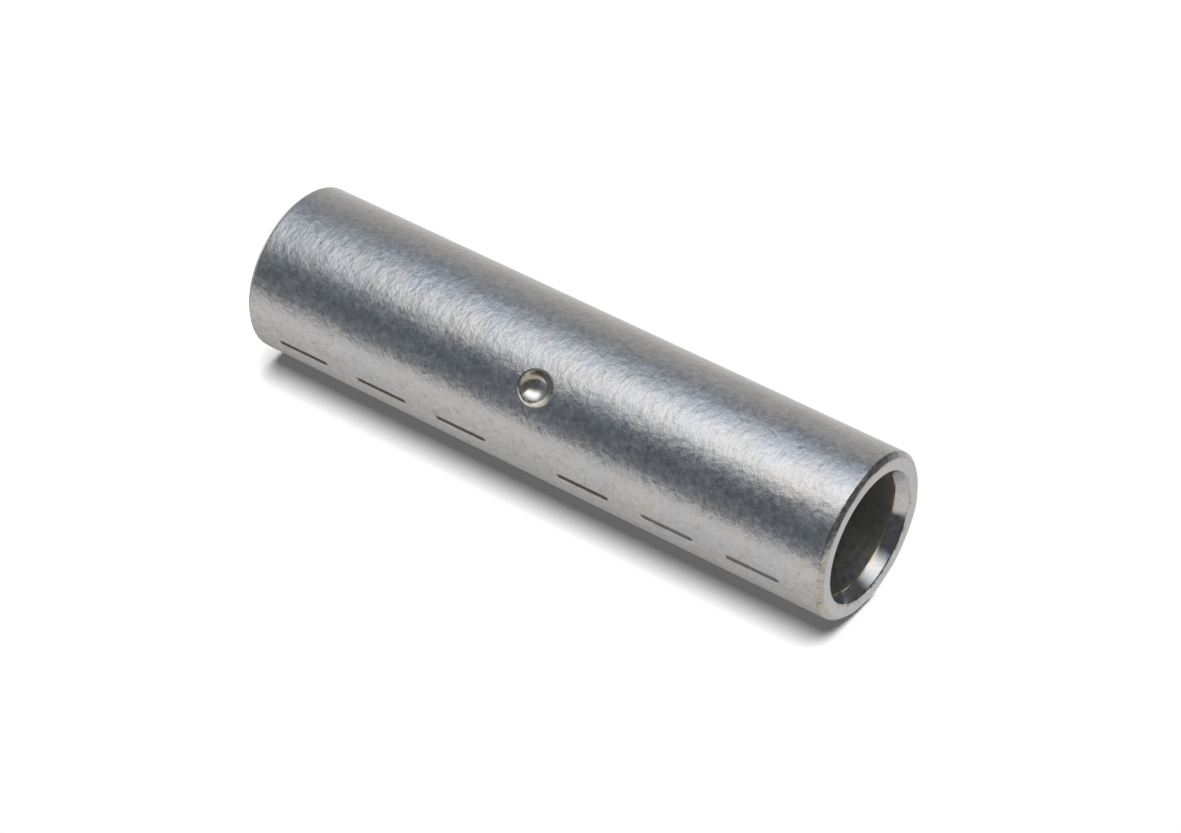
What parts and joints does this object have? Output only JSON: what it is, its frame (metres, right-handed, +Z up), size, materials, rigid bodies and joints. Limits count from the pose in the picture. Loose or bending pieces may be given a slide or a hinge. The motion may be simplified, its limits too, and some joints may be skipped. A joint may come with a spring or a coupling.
{
  "type": "compression splice",
  "caption": "Straight tinned copper tube splice with countersunk mouths, a punched stop in the middle and pressed crimp marks; joins two stranded conductors end to end.",
  "frame": {"origin": "centre of the lower end, on which the barrel stands", "axes": "+Z up along the barrel's axis; the dimple faces -Y, and the crimp marks are 55 degrees round from it towards +X"},
  "size_m": [0.0142, 0.0142, 0.056],
  "materials": {
    "tinned_copper": "satin tin plating on copper, finely mottled"
  },
  "bodies": {
    "root": {"splice_barrel": "tinned_copper"}
  },
  "joints": []
}
